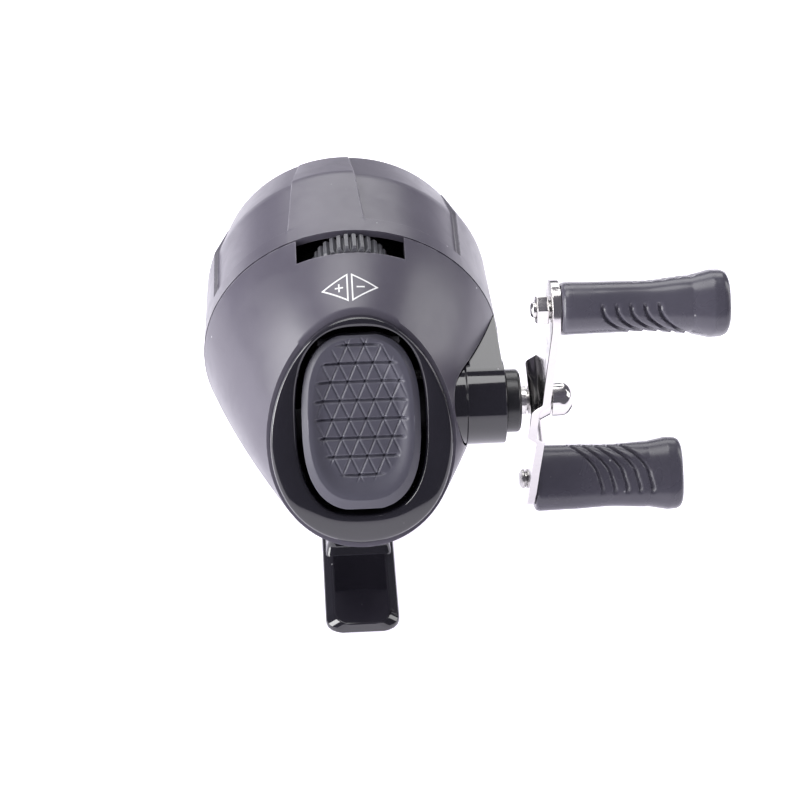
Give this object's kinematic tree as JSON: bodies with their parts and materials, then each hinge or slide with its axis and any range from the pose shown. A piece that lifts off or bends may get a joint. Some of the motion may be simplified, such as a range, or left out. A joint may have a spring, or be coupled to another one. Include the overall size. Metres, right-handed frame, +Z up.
{
  "type": "spincast reel",
  "caption": "Closed-face spincast fishing reel with a rear thumb button, a twin-knob crank, a thumb drag wheel and a flat rod foot",
  "frame": {"origin": "middle of the foot's flat underside, where the reel sits on a rod's reel seat", "axes": "+Y runs forward along the rod towards the line outlet, +X is the crank's side, +Z is up from the rod"},
  "size_m": [0.1064, 0.0858, 0.0839],
  "materials": {
    "rear_shell": "satin charcoal moulded shell",
    "front_cover": "satin charcoal moulded cover",
    "rear_bezel": "piano black",
    "main_frame": "piano black",
    "reel_foot": "piano black",
    "crank_bushing": "black moulded collar",
    "thumb_button": "matte dark grey, knurled",
    "drag_wheel": "dark grey toothed wheel",
    "knob": "matte dark grey grip",
    "chrome": "bright plate",
    "steel": "turned and stamped steel",
    "brass": "turned brass",
    "diecast": "die-cast",
    "acetal": "natural acetal"
  },
  "bodies": {
    "root": {"rear_shell": "rear_shell", "front_cover": "front_cover", "rear_bezel": "rear_bezel", "main_frame": "main_frame", "reel_foot": "reel_foot", "crank_bushing": "crank_bushing", "line_guide": "chrome", "pawl_pin": "steel", "case_screw_1": "steel", "case_screw_2": "steel", "case_screw_3": "steel", "case_screw_4": "steel", "foot_screw_front": "steel", "foot_screw_rear": "steel", "button_hinge_pin": "steel", "drag_wheel_pin": "steel", "drag_washer": "steel", "spool_clip": "steel", "shaft_bushing": "brass"},
    "crank": {"crank_shaft": "steel", "main_gear": "diecast", "ratchet_wheel": "steel", "handle_arm": "chrome", "arm_washer": "chrome", "cap_nut": "chrome", "spindle_nut_upper": "chrome", "knob_spindle_upper": "steel", "knob_spindle_lower": "steel"},
    "upper_knob": {"knob_upper": "knob"},
    "lower_knob": {"knob_lower": "knob"},
    "pinion": {"pinion_gear": "brass", "return_spring": "steel"},
    "plunger": {"thrust_plunger": "acetal"},
    "rotor": {"center_shaft": "steel", "shaft_collar": "steel", "spinner_head": "chrome", "head_nut": "steel"},
    "pin_upper": {"pickup_pin_upper": "steel"},
    "pin_lower": {"pickup_pin_lower": "steel"},
    "spool_body": {"spool": "diecast"},
    "drag_thumb_wheel": {"drag_wheel": "drag_wheel"},
    "drag_nut": {"drag_gear": "brass"},
    "button": {"thumb_button": "thumb_button"},
    "pawl": {"anti_reverse_pawl": "steel"}
  },
  "joints": [
    {"name": "crank_spin", "type": "hinge", "parent": "root", "child": "crank", "pos_m": [0, -0.0085, 0.045], "axis": [1, 0, 0], "continuous": true},
    {"name": "knob_upper_spin", "type": "hinge", "parent": "crank", "child": "upper_knob", "pos_m": [0.0406, -0.01854, 0.07591], "axis": [1, 0, 0], "continuous": true},
    {"name": "knob_lower_spin", "type": "hinge", "parent": "crank", "child": "lower_knob", "pos_m": [0.0406, 0.00154, 0.01409], "axis": [1, 0, 0], "continuous": true},
    {"name": "pinion_spin", "type": "hinge", "parent": "root", "child": "pinion", "pos_m": [0, -0.001, 0.045], "axis": [0, 1, 0], "continuous": true},
    {"name": "plunger_slide", "type": "slide", "parent": "root", "child": "plunger", "axis": [0, 1, 0], "range_m": [0, 0.0024], "stiffness_N_per_m": 1200, "springref_m": -0.0025, "deforming": ["return_spring"]},
    {"name": "rotor_spin", "type": "hinge", "parent": "plunger", "child": "rotor", "pos_m": [0, 0.02, 0.045], "axis": [0, 1, 0], "continuous": true},
    {"name": "pin_upper_slide", "type": "slide", "parent": "rotor", "child": "pin_upper", "axis": [0, 0, -1], "range_m": [0, 0.0018]},
    {"name": "pin_lower_slide", "type": "slide", "parent": "rotor", "child": "pin_lower", "axis": [0, 0, 1], "range_m": [0, 0.0018]},
    {"name": "spool_spin", "type": "hinge", "parent": "root", "child": "spool_body", "pos_m": [0, 0.017, 0.045], "axis": [0, 1, 0], "continuous": true},
    {"name": "drag_wheel_spin", "type": "hinge", "parent": "root", "child": "drag_thumb_wheel", "pos_m": [0, 0.0075, 0.0685], "axis": [0, 1, 0], "continuous": true},
    {"name": "drag_gear_spin", "type": "hinge", "parent": "root", "child": "drag_nut", "pos_m": [0, 0.0057, 0.045], "axis": [0, 1, 0], "continuous": true},
    {"name": "button_press", "type": "hinge", "parent": "root", "child": "button", "pos_m": [0.0007, -0.01081, 0.06385], "axis": [1, 0, 0], "range_deg": [0, 7]},
    {"name": "pawl_lift", "type": "hinge", "parent": "root", "child": "pawl", "pos_m": [0.0081, -0.0006, 0.0431], "axis": [1, 0, 0], "range_deg": [0, 15], "stiffness_Nm_per_rad": 0.0005, "springref_deg": -11.46}
  ],
  "couplings": [
    {"joint": "pinion_spin", "follows": "crank_spin", "ratio": -3},
    {"joint": "rotor_spin", "follows": "crank_spin", "ratio": -3},
    {"joint": "button_press", "follows": "plunger_slide", "rad_per_m": 50.9},
    {"joint": "pin_upper_slide", "follows": "plunger_slide", "ratio": 0.75},
    {"joint": "pin_lower_slide", "follows": "plunger_slide", "ratio": 0.75},
    {"joint": "drag_wheel_spin", "follows": "drag_gear_spin", "ratio": -1.875}
  ]
}
